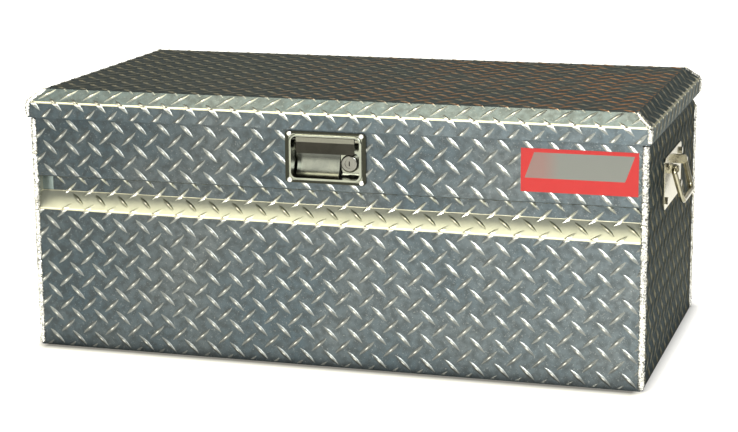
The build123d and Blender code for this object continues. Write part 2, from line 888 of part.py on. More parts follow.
def make_props():
    foot_y = hinge_y - prop_forward
    foot_z = hinge_z - prop_below
    lid_turn = radians(prop_lid_angle)
    head_y = hinge_y - prop_lid_arm * cos(lid_turn)
    head_z = hinge_z + prop_lid_arm * sin(lid_turn)
    length = hypot(head_y - foot_y, head_z - foot_z)
    along = (0, (head_y - foot_y) / length, (head_z - foot_z) / length)
    eye_low = prop_x - prop_eye_width / 2
    tube_length = length - prop_tube_start - prop_shank - prop_shank_gap
    rod_tail = prop_tube_start + prop_cap + prop_tail_gap

    def across(distance):
        # Plane square to the prop, a distance up from its foot.
        origin = (prop_x, foot_y + along[1] * distance, foot_z + along[2] * distance)
        return Plane(origin=origin, x_dir=(1, 0, 0), z_dir=along)

    with BuildPart() as prop_tube:
        with BuildSketch(Plane.YZ.offset(eye_low)):
            with Locations((foot_y, foot_z)):
                Circle(prop_eye_radius)
        extrude(amount=prop_eye_width)
        with BuildSketch(across(0)):
            Rectangle(prop_eye_width, prop_eye_width)
        extrude(amount=prop_tube_start + prop_neck_overlap)
        with BuildSketch(across(prop_tube_start)):
            Circle(prop_tube_radius)
        extrude(amount=tube_length)
        with BuildSketch(across(prop_tube_start + prop_cap)):
            Circle(prop_tube_bore)
        extrude(amount=tube_length - 2 * prop_cap, mode=Mode.SUBTRACT)
        with BuildSketch(across(prop_tube_start + prop_cap)):
            Circle(prop_rod_radius + running_gap)
        extrude(amount=tube_length, mode=Mode.SUBTRACT)
        with BuildSketch(Plane.YZ.offset(eye_low)):
            with Locations((foot_y, foot_z)):
                Circle(prop_stud_radius + running_gap)
        extrude(amount=prop_eye_width, mode=Mode.SUBTRACT)
    save_pair(prop_tube, "prop_tube")

    with BuildPart() as prop_rod:
        with BuildSketch(across(rod_tail)):
            Circle(prop_tube_bore - 2 * running_gap)
        extrude(amount=prop_piston)
        with BuildSketch(across(rod_tail)):
            Circle(prop_rod_radius)
        extrude(amount=length - rod_tail - prop_eye_radius)
    save_pair(prop_rod, "prop_rod")

    with BuildPart() as prop_rod_end:
        with BuildSketch(Plane.YZ.offset(eye_low)):
            with Locations((head_y, head_z)):
                Circle(prop_eye_radius)
        extrude(amount=prop_eye_width)
        with BuildSketch(across(length - prop_shank)):
            Rectangle(prop_eye_width, prop_shank_depth)
        extrude(amount=prop_shank - prop_eye_radius / 2)
        with BuildSketch(across(length - prop_shank)):
            Circle(prop_rod_radius)
        extrude(amount=prop_shank - prop_eye_radius, mode=Mode.SUBTRACT)
        with BuildSketch(Plane.YZ.offset(eye_low)):
            with Locations((head_y, head_z)):
                Circle(prop_stud_radius)
        extrude(amount=prop_eye_width, mode=Mode.SUBTRACT)
    save_pair(prop_rod_end, "prop_rod_end")

    with BuildPart() as prop_foot:
        with BuildSketch(Plane.YZ.offset(side_face - sheet)):
            with Locations((foot_y - prop_foot_shift, foot_z)):
                RectangleRounded(prop_bracket, prop_bracket, prop_stud_radius)
        extrude(amount=-prop_bracket_sheet)
        with BuildSketch(Plane.YZ.offset(side_face - sheet)):
            with Locations((foot_y, foot_z)):
                Circle(prop_stud_radius)
        extrude(amount=-(side_face - sheet - eye_low + prop_open_gap))
        with BuildSketch(Plane.YZ.offset(side_face - sheet)):
            with Locations((foot_y, foot_z)):
                Circle(prop_eye_radius)
        extrude(amount=-(side_face - sheet - eye_low - prop_eye_width - prop_open_gap))
        with BuildSketch(Plane.YZ.offset(eye_low - prop_open_gap)):
            with Locations((foot_y, foot_z)):
                Circle(prop_washer_radius)
        extrude(amount=-prop_bracket_sheet)
    save_pair(prop_foot, "prop_foot_bracket")

    # The stud on the lid stops just short of the rod end's face.
    face = eye_low + prop_eye_width + prop_open_gap
    with BuildPart() as prop_head:
        with BuildSketch(Plane.YZ.offset(face + prop_bracket_sheet)):
            with Locations((head_y, (head_z + pan_bottom) / 2 - prop_eye_radius / 2)):
                Rectangle(prop_head_width, pan_bottom - head_z + prop_eye_radius)
        extrude(amount=prop_bracket_sheet)
        with BuildSketch(Plane.YZ.offset(face)):
            with Locations((head_y, head_z)):
                Circle(prop_head_stud)
        extrude(amount=prop_bracket_sheet)
        with BuildSketch(Plane.XY.offset(pan_bottom)):
            with Locations((face + 2 * prop_bracket_sheet - prop_head_foot / 2, head_y)):
                Rectangle(prop_head_foot, prop_head_width)
        extrude(amount=-prop_bracket_sheet)
    save_pair(prop_head, "prop_head_bracket")

    # Where the head has to be when the lid stands open.
    opened = radians(lid_opening) + lid_turn
    open_y = hinge_y - prop_lid_arm * cos(opened)
    open_z = hinge_z + prop_lid_arm * sin(opened)
    travel = hypot(open_y - foot_y, open_z - foot_z) - length
    swing = degrees(atan2(head_z - foot_z, head_y - foot_y)
                    - atan2(open_z - foot_z, open_y - foot_y))
    print("prop foot", foot_y, foot_z, "head", head_y, head_z)
    print("prop travel", travel, "swing", swing, "along", along)


# ---- Handles ----

def make_handles():
    pivot_x = side_face + handle_plate_sheet + handle_pivot_out
    pivot_up = handle_height + handle_pivot_rise
    half = bail_width / 2
    plate_face = side_face + handle_plate_sheet

    with BuildPart() as handle_plate:
        with BuildSketch(Plane.YZ.offset(side_face)):
            with Locations((0, handle_height)):
                RectangleRounded(handle_plate_width, handle_plate_height, handle_plate_corner)
        extrude(amount=handle_plate_sheet)
        fillet(handle_plate.edges().group_by(Axis.X)[-1], radius=handle_plate_round)
        with BuildSketch(Plane.YZ.offset(side_face)):
            with Locations((0, handle_height)):
                with GridLocations(2 * handle_bolt_x, 2 * handle_bolt_z, 2, 2):
                    Circle(handle_bolt_radius)
        extrude(amount=handle_plate_sheet, mode=Mode.SUBTRACT)
        for side in (-1, 1):
            ear_start = side * (half - ear_length)
            with BuildSketch(Plane.XZ.offset(-ear_start)):
                with Locations((pivot_x, pivot_up)):
                    Circle(ear_radius)
                with Locations(((plate_face + pivot_x) / 2, pivot_up)):
                    Rectangle(pivot_x - plate_face, 2 * ear_radius)
                with Locations((pivot_x, pivot_up)):
                    Circle(bail_radius + running_gap, mode=Mode.SUBTRACT)
            extrude(amount=side * -ear_width)
    save_pair(handle_plate, "handle_plate")

    # The bail's ends turn inwards into the ears, and its grip stands off the plate.
    with BuildPart() as handle_bail:
        with BuildLine():
            path = FilletPolyline(
                (pivot_x, -half + ear_length, pivot_up),
                (pivot_x, -half, pivot_up),
                (pivot_x + bail_kick, -half + bail_taper, pivot_up - bail_drop),
                (pivot_x + bail_kick, half - bail_taper, pivot_up - bail_drop),
                (pivot_x, half, pivot_up),
                (pivot_x, half - ear_length, pivot_up),
                radius=[bail_ear_bend, bail_grip_bend, bail_grip_bend, bail_ear_bend],
            )
        with BuildSketch(Plane(origin=path @ 0, z_dir=path % 0)):
            Circle(bail_radius)
        sweep(path=path, transition=Transition.ROUND)
    save_pair(handle_bail, "handle_bail")

    with BuildPart() as handle_bolts:
        with BuildSketch(Plane.YZ.offset(plate_face)):
            with Locations((0, handle_height)):
                with GridLocations(2 * handle_bolt_x, 2 * handle_bolt_z, 2, 2):
                    RegularPolygon(handle_bolt_head, 6)
        extrude(amount=handle_bolt_head_height)
        with BuildSketch(Plane.YZ.offset(plate_face)):
            with Locations((0, handle_height)):
                with GridLocations(2 * handle_bolt_x, 2 * handle_bolt_z, 2, 2):
                    Circle(handle_bolt_radius)
        extrude(amount=-handle_bolt_length)
    save_pair(handle_bolts, "handle_bolts")

    with BuildPart() as handle_nuts:
        with BuildSketch(Plane.YZ.offset(side_face - sheet)):
            with Locations((0, handle_height)):
                with GridLocations(2 * handle_bolt_x, 2 * handle_bolt_z, 2, 2):
                    RegularPolygon(handle_bolt_head, 6)
                    Circle(handle_bolt_radius, mode=Mode.SUBTRACT)
        extrude(amount=-handle_bolt_head_height)
    save_pair(handle_nuts, "handle_nuts")
    print("handle pivot", pivot_x, pivot_up)


make_front_panel()
make_rear_panel()
make_side_panels()
make_floor_panel()
make_corner_welds()
make_rim_frame()
make_rim_seal()
make_channel_patch()
make_decal()
make_lid_shell()
make_lid_pan()
make_lid_stiffeners()
make_hinge()
make_hinge_rivets()
make_latch_gasket()
make_latch_dish()
make_latch_fasteners()
make_paddle()
make_trip_slide()
make_latch_housing()
make_hook()
make_striker()
make_lock()
make_props()
make_handles()
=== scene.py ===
import math

import bpy
from mathutils import Matrix, Vector


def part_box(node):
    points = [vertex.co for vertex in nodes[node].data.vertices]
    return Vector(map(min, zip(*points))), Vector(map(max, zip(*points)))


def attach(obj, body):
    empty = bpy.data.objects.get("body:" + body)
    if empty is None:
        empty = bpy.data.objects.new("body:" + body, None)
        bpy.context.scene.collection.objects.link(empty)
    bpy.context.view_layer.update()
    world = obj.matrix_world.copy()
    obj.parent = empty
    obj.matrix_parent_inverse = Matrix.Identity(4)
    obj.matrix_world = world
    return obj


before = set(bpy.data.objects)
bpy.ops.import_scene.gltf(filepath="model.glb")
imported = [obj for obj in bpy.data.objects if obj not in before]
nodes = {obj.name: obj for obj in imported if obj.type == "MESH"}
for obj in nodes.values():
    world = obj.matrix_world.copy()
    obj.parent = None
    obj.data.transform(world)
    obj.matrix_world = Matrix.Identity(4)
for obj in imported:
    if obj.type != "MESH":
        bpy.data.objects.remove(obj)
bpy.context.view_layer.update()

scene = bpy.context.scene

# Camera: stands to the right of the front, a little above the lid
camera = {
    "place": (0.8762, -2.8915, 0.8404),
    "turn": (77.531, 0.451, 17.011),
    "lens": 97.78,
    "shift": (0.0046, 0.0014),
}


def addCamera():
    data = bpy.data.cameras.new("mainCamera")
    data.lens = camera["lens"]
    data.sensor_width = 36.0
    data.shift_x, data.shift_y = camera["shift"]
    holder = bpy.data.objects.new("mainCamera", data)
    holder.location = camera["place"]
    holder.rotation_euler = [math.radians(angle) for angle in camera["turn"]]
    scene.collection.objects.link(holder)
    scene.camera = holder


addCamera()
print("camera placed")


def clearSelection():
    if bpy.context.mode != "OBJECT":
        bpy.ops.object.mode_set(mode="OBJECT")
    bpy.ops.object.select_all(action="DESELECT")


def pick(piece):
    clearSelection()
    piece.select_set(True)
    bpy.context.view_layer.objects.active = piece


def startPiece(name, addPrimitive, **settings):
    # a new primitive, named and alone in the selection
    clearSelection()
    addPrimitive(**settings)
    piece = bpy.context.active_object
    piece.name = name
    piece.data.name = name
    return piece


def chooseVertices(piece, wanted):
    # leaves edit mode on, with only the wanted vertices selected
    bpy.ops.object.mode_set(mode="EDIT")
    bpy.ops.mesh.select_mode(type="VERT")
    bpy.ops.mesh.select_all(action="DESELECT")
    bpy.ops.object.mode_set(mode="OBJECT")
    for vertex in piece.data.vertices:
        vertex.select = bool(wanted(vertex.co))
    bpy.ops.object.mode_set(mode="EDIT")


def settle(piece, smoothAngle=None):
    # place, turn and size go into the mesh
    pick(piece)
    bpy.ops.object.transform_apply(location=True, rotation=True, scale=True)
    if smoothAngle is not None:
        bpy.ops.object.shade_smooth_by_angle(angle=math.radians(smoothAngle))
    return piece


def applyModifier(piece, kind, **settings):
    pick(piece)
    modifier = piece.modifiers.new(kind.title(), kind)
    for name, value in settings.items():
        setattr(modifier, name, value)
    bpy.ops.object.modifier_apply(modifier=modifier.name)


def copyPiece(piece, name):
    twin = piece.copy()
    twin.data = piece.data.copy()
    twin.name = name
    twin.data.name = name
    scene.collection.objects.link(twin)
    return twin


def joinPieces(pieces, name):
    clearSelection()
    for piece in pieces:
        piece.select_set(True)
    bpy.context.view_layer.objects.active = pieces[0]
    if len(pieces) > 1:
        bpy.ops.object.join()
    whole = bpy.context.active_object
    whole.name = name
    whole.data.name = name
    return whole


def dress(piece, material, body):
    piece.data.materials.clear()
    piece.data.materials.append(material)
    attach(piece, body)


class Signal:
    # wraps a shader socket, so that sums on signals become Math nodes
    def __init__(self, tree, socket=None):
        self.tree = tree
        self.socket = socket

    def make(self, kind, settings=None, sockets=None, output=0):
        node = self.tree.nodes.new("ShaderNode" + kind)
        for name, value in (settings or {}).items():
            if name == "stops":
                ramp = node.color_ramp
                while len(ramp.elements) < len(value):
                    ramp.elements.new(1.0)
                for element, (position, shade) in zip(ramp.elements, value):
                    element.position = position
                    element.color = (*shade, 1.0)
            else:
                setattr(node, name, value)
        for name, value in (sockets or {}).items():
            if isinstance(value, Signal):
                self.tree.links.new(value.socket, node.inputs[name])
            else:
                node.inputs[name].default_value = value
        return Signal(self.tree, node.outputs[output])

    def sum(self, operation, first, second):
        return self.make("Math", {"operation": operation}, {0: first, 1: second})

    def __add__(self, other):
        return self.sum("ADD", self, other)

    def __radd__(self, other):
        return self.sum("ADD", other, self)

    def __sub__(self, other):
        return self.sum("SUBTRACT", self, other)

    def __rsub__(self, other):
        return self.sum("SUBTRACT", other, self)

    def __mul__(self, other):
        return self.sum("MULTIPLY", self, other)

    def __rmul__(self, other):
        return self.sum("MULTIPLY", other, self)

    def above(self, level, softness):
        # 0 below the level and 1 above it, over a soft edge
        return self.make("MapRange", {"clamp": True},
                         {"Value": self, "From Min": level - softness, "From Max": level + softness})

    def noise(self, scale, detail=3.0, roughness=0.55, distortion=0.0):
        return self.make("TexNoise", None, {"Vector": self, "Scale": scale, "Detail": detail,
                                            "Roughness": roughness, "Distortion": distortion})

    def stretch(self, scale):
        return self.make("VectorMath", {"operation": "MULTIPLY"}, {0: self, 1: scale})

    def shade(self, dark, light):
        return self.make("Mix", {"data_type": "RGBA"},
                         {0: self, 6: (*dark, 1.0), 7: (*light, 1.0)}, output=2)

    def tint(self, base, colour):
        return self.make("Mix", {"data_type": "RGBA"}, {0: self, 6: base, 7: (*colour, 1.0)}, output=2)


class Finish:
    # a Principled material; constants sit on the shader's own sockets
    def __init__(self, name, **constants):
        self.material = bpy.data.materials.new(name)
        self.material.use_nodes = True
        self.tree = self.material.node_tree
        self.shader = self.tree.nodes["Principled BSDF"]
        for socket, value in constants.items():
            self.shader.inputs[socket.replace("_", " ")].default_value = value
        self.start = Signal(self.tree)
        self.point = self.start.make("TexCoord", output="Object")
        self.axes = [self.start.make("SeparateXYZ", None, {0: self.point}, output=index)
                     for index in range(3)]

    def link(self, socket, signal):
        self.tree.links.new(signal.socket, self.shader.inputs[socket])

    def bump(self, height, strength, distance):
        self.link("Normal", self.start.make("Bump", None, {
            "Height": height, "Strength": strength, "Distance": distance}))


def soft(signal, low, lowEdge, high, highEdge):
    # a band whose two edges have their own softness
    return signal.above(low, lowEdge) * (1.0 - signal.above(high, highEdge))


def band(signal, low, high, softness):
    return soft(signal, low, softness, high, softness)


# how soft the edges of the masks are, in metres
maskEdge = {"thin": 0.0002, "bend": 0.0003, "ledge": 0.0004}


def channelMask(look):
    # 1 on the channel's ledge and under its roof
    across, depth, up = look.axes
    ledge = band(up, treadLook["channelLow"], treadLook["channelHigh"], maskEdge["ledge"])
    ledge = ledge * band(depth, treadLook["channelFront"], treadLook["channelBack"], maskEdge["ledge"])
    return ledge * band(across, -treadLook["channelHalf"], treadLook["channelHalf"], maskEdge["thin"])


def bendMask(look, wider):
    # 1 along the lid's slight bend all round, and along the channel's bends on the front
    across, depth, up = look.axes
    edge = maskEdge["bend"]
    height, reach = treadLook["lidBend"]
    total = band(up, height - reach - wider, height + reach + wider, edge)
    ahead = 1.0 - depth.above(treadLook["wallPlane"], edge)
    ahead = ahead * band(across, -treadLook["channelHalf"], treadLook["channelHalf"], maskEdge["thin"])
    for height, reach in treadLook["channelBends"]:
        total = total + band(up, height - reach - wider, height + reach + wider, edge) * ahead
    return total


def insideMask(look):
    # 1 on the sheets' plain inner faces, below the lid
    across, depth, up = look.axes
    edge = maskEdge["bend"]
    halfAcross, halfDeep = treadLook["innerHalf"]
    marginAhead, marginAbove = treadLook["recessMargins"]
    recess = band(up, treadLook["channelLow"], treadLook["channelHigh"] + marginAbove, edge)
    recess = recess * (1.0 - depth.above(treadLook["wallPlane"] - marginAhead, edge))
    inner = band(across, -halfAcross, halfAcross, edge)
    inner = inner * band(depth, -halfDeep, halfDeep, edge)
    return inner * (1.0 - recess) * (1.0 - up.above(treadLook["innerTop"], edge))


def scaled(colour, level):
    return tuple(value * level for value in colour)


def treadSheetFinish(name, level):
    # rolled aluminium between the lugs: dull, cloudy, a little scuffed; level scales the colours, which
    # paints lit and shaded copies of one sheet
    look = Finish(name, Roughness=0.36, Specular_Tint=(*scaled(treadLook["edgeTint"], level), 1.0))
    cloud = look.point.noise(7.0, detail=4.0, distortion=0.4)
    fine = look.point.noise(90.0, detail=4.0)
    grain = look.point.stretch((260.0, 260.0, 1500.0)).noise(1.0, detail=2.0)
    scuff = look.point.noise(420.0, detail=2.0, distortion=1.2).above(0.66, 0.03)
    base = cloud.above(0.5, 0.2).shade(scaled(treadLook["cool"], level), scaled(treadLook["warm"], level))
    base = (fine.above(0.52, 0.12) * 0.6).tint(base, scaled(treadLook["dull"], level))
    base = (scuff * 0.3).tint(base, treadLook["scratch"])
    # painted shade darkens the left end, painted light brightens the channel's ledge and roof, and painted
    # highlights brighten the bends
    leftShade = 1.0 - look.axes[0].above(0.0, treadLook["leftShadeReach"])
    base = (leftShade * treadLook["leftShadeShare"]).tint(base, (0.0, 0.0, 0.0))
    # painted light: the channel's ledge and roof are brightened and made less metallic
    channelPaintedLight = channelMask(look)
    base = (channelPaintedLight * (0.7 + cloud * 0.3)).tint(base, treadLook["channelLight"])
    # painted highlight: the bends are brightened, patchily
    bendHighlight = look.point.noise(48.0, detail=4.0) * 0.7 + 0.45
    base = (bendMask(look, 0.0) * bendHighlight).tint(base, treadLook["bendHighlight"])
    base = (insideMask(look) * (0.8 + cloud * 0.3)).tint(base, treadLook["inside"])
    look.link("Base Color", base)
    look.link("Metallic", 1.0 - channelPaintedLight * 0.45)
    look.link("Roughness", 0.27 + cloud * 0.1 + fine * 0.12 + scuff * 0.1)
    look.bump(fine * 0.5 + grain * 0.3, 0.12, 0.0006)
    return look.material


def treadLugFinish(name, level, glintShare=0.0):
    # the lugs are a little brighter than the sheet, with a painted highlight on the crown; level scales the
    # colours into lit and shaded copies
    look = Finish(name, Metallic=1.0, Roughness=0.3, Specular_Tint=(*scaled(lugLook["edgeTint"], level), 1.0))
    cloud = look.point.noise(34.0, detail=3.0)
    fine = look.point.noise(700.0, detail=3.0)
    base = cloud.above(0.5, 0.22).shade(scaled(lugLook["plain"], level), scaled(lugLook["bright"], level))
    base = (fine.above(0.6, 0.1) * 0.35).tint(base, scaled(lugLook["worn"], level))
    if glintShare:
        # painted warm reflections on the flat top, more of them towards the right
        across, _, up = look.axes
        glintPatches = look.point.noise(16.0, detail=3.0).above(0.46, 0.06)
        glintPatches = glintPatches * up.above(lugLook["glintLevel"], maskEdge["bend"])
        base = (glintPatches * across.above(0.06, 0.3) * glintShare).tint(base, lugLook["warmGlint"])
    # painted light on the lugs in the channel
    base = channelMask(look).tint(base, treadLook["channelLight"])
    # painted highlight on the lugs along the bends
    base = bendMask(look, lugLook["bendWider"]).tint(base, lugLook["paintedHighlight"])
    local = look.start.make("TexCoord", output="UV")
    along, across = [look.start.make("SeparateXYZ", None, {0: local}, output=index) for index in range(2)]
    # painted highlight in the middle of each lug's crown
    crownHighlight = band(along, 0.43, 0.57, 0.05) * band(across, 0.30, 0.70, 0.12)
    base = (crownHighlight * 0.9).tint(base, scaled(lugLook["paintedHighlight"], level))
    look.link("Base Color", base)
    look.link("Roughness", 0.2 + fine * 0.16 + cloud * 0.06)
    look.bump(fine, 0.15, 0.0003)
    return look.material


def smoothAluminiumFinish():
    look = Finish("smoothAluminium", Metallic=1.0, Roughness=0.38)
    cloud = look.point.noise(11.0, detail=4.0, distortion=0.3)
    drawn = look.point.stretch((18.0, 900.0, 900.0)).noise(1.0, detail=3.0)
    fine = look.point.noise(220.0, detail=3.0)
    base = cloud.above(0.5, 0.25).shade((0.50, 0.52, 0.54), (0.66, 0.67, 0.67))
    base = (drawn.above(0.6, 0.1) * 0.3).tint(base, (0.42, 0.43, 0.45))
    look.link("Base Color", base)
    look.link("Roughness", 0.28 + drawn * 0.14 + fine * 0.08)
    look.bump(drawn * 0.6 + fine * 0.4, 0.12, 0.0004)
    return look.material


def weldFinish():
    # bright aluminium weld metal with a frosty skin
    look = Finish("weldBead", Metallic=1.0, Roughness=0.34)
    pit = look.point.noise(420.0, detail=4.0)
    soot = look.point.noise(70.0, detail=4.0).above(0.62, 0.08)
    base = pit.above(0.5, 0.12).shade((0.15, 0.155, 0.15), (0.86, 0.86, 0.83))
    base = (soot * 0.55).tint(base, (0.22, 0.22, 0.21))
    look.link("Base Color", base)
    look.link("Roughness", 0.26 + pit * 0.2 + soot * 0.12)
    look.bump(pit, 0.35, 0.0006)
    return look.material


def polishedFinish(name, dark, light, smoothness, scale=160.0, trim=None):
    # plated or polished metal with faint wiping marks and a few specks
    # trim recolours what lies outside a rectangle
    look = Finish(name, Metallic=1.0, Roughness=smoothness)
    haze = look.point.noise(scale * 0.25, detail=4.0, distortion=0.6)
    wipe = look.point.stretch((1.0, 1.0, 6.0)).noise(scale, detail=3.0)
    speck = look.point.noise(scale * 9.0, detail=1.0).above(0.74, 0.02)
    base = haze.above(0.5, 0.25).shade(dark, light)
    base = (speck * 0.4).tint(base, scaled(dark, 0.5))
    if trim:
        across, _, up = look.axes
        inside = band(across, -trim["halfWidth"], trim["halfWidth"], maskEdge["thin"])
        inside = inside * band(up, trim["low"], trim["high"], maskEdge["thin"])
        base = (1.0 - inside).tint(base, trim["colour"])
    look.link("Base Color", base)
    look.link("Roughness", smoothness + wipe * 0.06 + haze * 0.05 + speck * 0.1)
    look.bump(wipe, 0.05, 0.0003)
    return look.material


def rubberFinish():
    look = Finish("sealRubber", Metallic=0.0, Roughness=0.7)
    fine = look.point.noise(900.0, detail=3.0)
    dust = look.point.noise(55.0, detail=4.0).above(0.58, 0.12)
    look.link("Base Color", (dust * 0.5).shade((0.012, 0.012, 0.013), (0.05, 0.05, 0.048)))
    look.link("Roughness", 0.55 + fine * 0.2)
    look.bump(fine, 0.25, 0.0004)
    return look.material


def enamelFinish():
    look = Finish("propBlack", Metallic=0.0, Roughness=0.3, Coat_Roughness=0.12)
    peel = look.point.noise(520.0, detail=2.0)
    dust = look.point.noise(80.0, detail=4.0).above(0.6, 0.12)
    look.link("Base Color", (dust * 0.4).shade((0.008, 0.008, 0.009), (0.05, 0.048, 0.045)))
    look.link("Roughness", 0.22 + peel * 0.1 + dust * 0.15)
    look.bump(peel, 0.1, 0.0003)
    return look.material


decal = {
    "red": (0.245, 0.0075, 0.0075),
    "deepRed": (0.175, 0.005, 0.007),
    "silver": (0.095, 0.100, 0.093),
    "paleRed": (0.135, 0.068, 0.062),
    "slant": 0.36,          # lean of the panel's ends
    "margin": 0.0055,
    "panelHeight": 0.036,
    "rosyEnd": 0.043,       # the panel's left end shows the red through, as far as here
    "rosyEdge": 0.012,
}


def decalFinish():
    # a plain red sticker with a bare silver panel that leans at both ends
    low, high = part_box("front_decal")
    look = Finish("decalRed", Metallic=0.0, Roughness=0.35, Specular_IOR_Level=0.3)
    across, _, up = look.axes
    top = high.z - decal["margin"]
    bottom = top - decal["panelHeight"]
    leant = across - (up - bottom) * decal["slant"]
    panelRight = high.x - decal["margin"] - decal["slant"] * decal["panelHeight"]
    edge = maskEdge["thin"]
    inside = band(up, bottom, top, edge)
    inside = inside * leant.above(low.x + decal["margin"], edge)
    inside = inside * (1.0 - leant.above(panelRight, edge))
    fade = look.point.noise(60.0, detail=3.0)
    fine = look.point.noise(900.0, detail=2.0)
    red = fade.above(0.5, 0.25).shade(decal["deepRed"], decal["red"])
    red = (0.75 + fade * 0.2).tint(red, decal["red"])
    rosy = inside * (1.0 - across.above(low.x + decal["rosyEnd"], decal["rosyEdge"])) * 0.7
    base = inside.tint(red, decal["silver"])
    base = rosy.tint(base, decal["paleRed"])
    look.link("Base Color", base)
    look.link("Roughness", 0.28 + fine * 0.12 + fade * 0.08)
    look.bump(fine, 0.06, 0.0002)
    return look.material


treadLook = {
    "cool": (0.064, 0.088, 0.106),
    "warm": (0.110, 0.128, 0.138),
    "dull": (0.046, 0.052, 0.054),
    "scratch": (0.45, 0.47, 0.47),
    "edgeTint": (0.36, 0.38, 0.38),
    # painted light for the channel's ledge and roof
    "channelLight": (0.245, 0.252, 0.208),
    "bendHighlight": (0.58, 0.56, 0.42),
    "lidBend": (0.3712, 0.0013),    # height of a bend and half its width
    "channelBends": ((0.2107, 0.0013), (0.2340, 0.0006)),
    "channelHalf": 0.4564,
    "inside": (0.36, 0.37, 0.37),
    "innerHalf": (0.4554, 0.2334),
    "innerTop": 0.3474,
    "wallPlane": -0.2090,
    "recessMargins": (0.001, 0.0012),   # keep the channel's outer faces out of the inside mask
    # painted shade on the left end: how far it reaches, and how strong it is
    "leftShadeReach": 0.45,
    "leftShadeShare": 0.36,
    "channelFront": -0.2346,
    "channelBack": -0.2121,
    "channelLow": 0.2100,
    "channelHigh": 0.2600,
}
lugLook = {
    "plain": (0.120, 0.130, 0.128),
    "bright": (0.185, 0.195, 0.188),
    "worn": (0.085, 0.090, 0.083),
    # painted highlight for the bends and the lugs' crowns
    "paintedHighlight": (0.62, 0.62, 0.58),
    "edgeTint": (0.86, 0.79, 0.61),
    # painted warm reflections on the lid's top
    "warmGlint": (0.62, 0.26, 0.11),
    "glintShare": 0.65,
    "glintLevel": 0.3894,
    "bendWider": 0.0016,    # the painted highlight on the lugs reaches this much further from a bend than the sheet's
}

# the latch's flange is dark and the bead round its opening is bright; the paddle is painted dark as a
# reflection, with a painted highlight on its top lip
paddleLipHighlight = {"halfWidth": 0.06, "low": 0.30, "high": 0.3292, "colour": (0.13, 0.13, 0.11)}
latchTrim = {"halfWidth": 0.0546, "low": 0.2748, "high": 0.3422, "colour": (0.022, 0.023, 0.018)}

finishes = {
    # painted light and shade: the ends' copies are darker and the lid's lighter than the front's
    "treadSheet": treadSheetFinish("treadSheet", 1.0),
    "treadSheetShadedEnds": treadSheetFinish("treadSheetShadedEnds", 0.74),
    "treadSheetLitLid": treadSheetFinish("treadSheetLitLid", 1.20),
    "treadLugs": treadLugFinish("treadLugs", 1.0),
    "treadLugsEnds": treadLugFinish("treadLugsEnds", 0.62),
    "treadLugsLid": treadLugFinish("treadLugsLid", 1.14, lugLook["glintShare"]),
    "smoothAluminium": smoothAluminiumFinish(),
    "weldBead": weldFinish(),
    "stainless": polishedFinish("stainless", (0.48, 0.48, 0.47), (0.62, 0.62, 0.60), 0.24),
    "rivetAluminium": polishedFinish("rivetAluminium", (0.62, 0.63, 0.63), (0.80, 0.80, 0.79), 0.3),
    "latchChrome": polishedFinish("latchChrome", (0.17, 0.18, 0.155), (0.24, 0.25, 0.21), 0.13,
                                  trim=latchTrim),
    # painted dark reflection over the paddle's flat plate, with a painted highlight on its top lip
    "paddlePaintedDark": polishedFinish("paddlePaintedDark", (0.017, 0.017, 0.014), (0.028, 0.027, 0.023), 0.18,
                                  trim=paddleLipHighlight),
    "scoopChrome": polishedFinish("scoopChrome", (0.065, 0.070, 0.064), (0.100, 0.105, 0.092), 0.17),
    "lockNickel": polishedFinish("lockNickel", (0.11, 0.11, 0.10), (0.17, 0.17, 0.155), 0.16),
    "zincSteel": polishedFinish("zincSteel", (0.42, 0.41, 0.36), (0.60, 0.58, 0.50), 0.32),
    "handleChrome": polishedFinish("handleChrome", (0.20, 0.19, 0.14), (0.34, 0.32, 0.24), 0.09),
    "propChrome": polishedFinish("propChrome", (0.70, 0.70, 0.70), (0.85, 0.85, 0.85), 0.08),
    "patchAluminium": polishedFinish("patchAluminium", (0.20, 0.25, 0.255), (0.30, 0.36, 0.36), 0.34),
    "sealRubber": rubberFinish(),
    "propBlack": enamelFinish(),
    "decalRed": decalFinish(),
}

nodeFinish = {
    "treadSheet": ("front_panel", "rear_panel"),
    "treadSheetShadedEnds": ("side_panel_left", "side_panel_right"),
    "treadSheetLitLid": ("lid_shell",),
    "smoothAluminium": ("floor_panel", "rim_frame", "lid_inner_pan", "lid_stiffeners",
                        "striker_bracket"),
    "patchAluminium": ("channel_patch",),
    "weldBead": ("corner_welds",),
    "stainless": ("hinge_leaf_body", "hinge_leaf_lid", "hinge_pin", "latch_screws"),
    "rivetAluminium": ("hinge_rivets_body", "hinge_rivets_lid"),
    "latchChrome": ("latch_dish",),
    "paddlePaintedDark": ("latch_paddle",),
    "lockNickel": ("lock_cylinder", "lock_plug", "paddle_pin"),
    "zincSteel": ("paddle_spring", "trip_slide", "latch_housing", "hook_pin", "latch_hook", "striker_pin",
                  "lock_cam", "latch_nuts", "handle_nuts_left", "handle_nuts_right",
                  "prop_foot_bracket_left", "prop_foot_bracket_right",
                  "prop_head_bracket_left", "prop_head_bracket_right"),
    "handleChrome": ("handle_plate_left", "handle_plate_right", "handle_bail_left", "handle_bail_right",
                     "handle_bolts_left", "handle_bolts_right"),
    "propChrome": ("prop_rod_left", "prop_rod_right"),
    "sealRubber": ("rim_seal", "latch_gasket"),
    "propBlack": ("prop_tube_left", "prop_tube_right", "prop_rod_end_left", "prop_rod_end_right"),
    "decalRed": ("front_decal",),
}

for finishName, nodeNames in nodeFinish.items():
    for nodeName in nodeNames:
        for materialSlot in nodes[nodeName].material_slots:
            materialSlot.material = finishes[finishName]
print("finishes on", sum(len(names) for names in nodeFinish.values()), "CAD nodes of", len(nodes))


lug = {
    "pitchAlong": 0.0362,
    "pitchUp": 0.0353,
    "length": 0.0330,
    "width": 0.0063,
    "height": 0.00130,
    "sink": 0.0001,
    "smallestField": 0.002,
    "lean": 43.0,
    "crown": 0.6,           # draws the rows beside the middle inwards
    "shoulder": 0.86,
    "taper": ((0.25, 0.95), (0.5, 0.78), (0.75, 0.45), (1.0, 0.0)),
}


